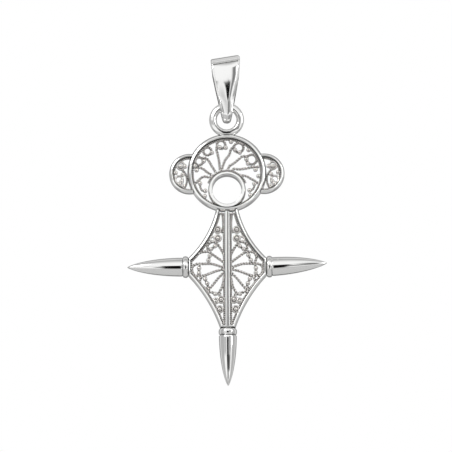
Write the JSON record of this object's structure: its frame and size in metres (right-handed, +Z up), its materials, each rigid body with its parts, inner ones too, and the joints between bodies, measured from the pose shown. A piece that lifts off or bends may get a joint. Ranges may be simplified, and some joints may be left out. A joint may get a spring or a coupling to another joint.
{
  "type": "tuareg cross pendant",
  "caption": "Filigree silver cross pendant with a ringed round head, two ears, a hollow-sided diamond body, three pointed finials and a tapered bail it swings from.",
  "frame": {"origin": "seat of the chain, the inner top of the bail", "axes": "+Z up along the hanging pendant, front towards -Y, +X to the viewer's right"},
  "size_m": [0.0299, 0.004, 0.0503],
  "materials": {
    "polished_silver": "mirror-polished sterling silver with a bright rhodium plating",
    "filigree_silver": "bright twisted silver wire and grains, slightly darker and warmer in the crevices"
  },
  "bodies": {
    "bail": {"bail": "polished_silver"},
    "cross": {"top_ring": "polished_silver", "head_rim": "polished_silver", "centre_ring": "polished_silver", "head_filigree": "filigree_silver", "ear_rim_left": "polished_silver", "ear_rim_right": "polished_silver", "ear_filigree_left": "filigree_silver", "ear_filigree_right": "filigree_silver", "body_frame": "polished_silver", "centre_bar": "polished_silver", "body_filigree_left": "filigree_silver", "body_filigree_right": "filigree_silver", "collar_left": "polished_silver", "collar_right": "polished_silver", "collar_bottom": "polished_silver", "spike_left": "polished_silver", "spike_right": "polished_silver", "spike_bottom": "polished_silver"}
  },
  "joints": [
    {"name": "cross_swing", "type": "hinge", "parent": "bail", "child": "cross", "pos_m": [0, 0, -0.00678], "axis": [1, 0, 0], "range_deg": [-90, 90]}
  ]
}
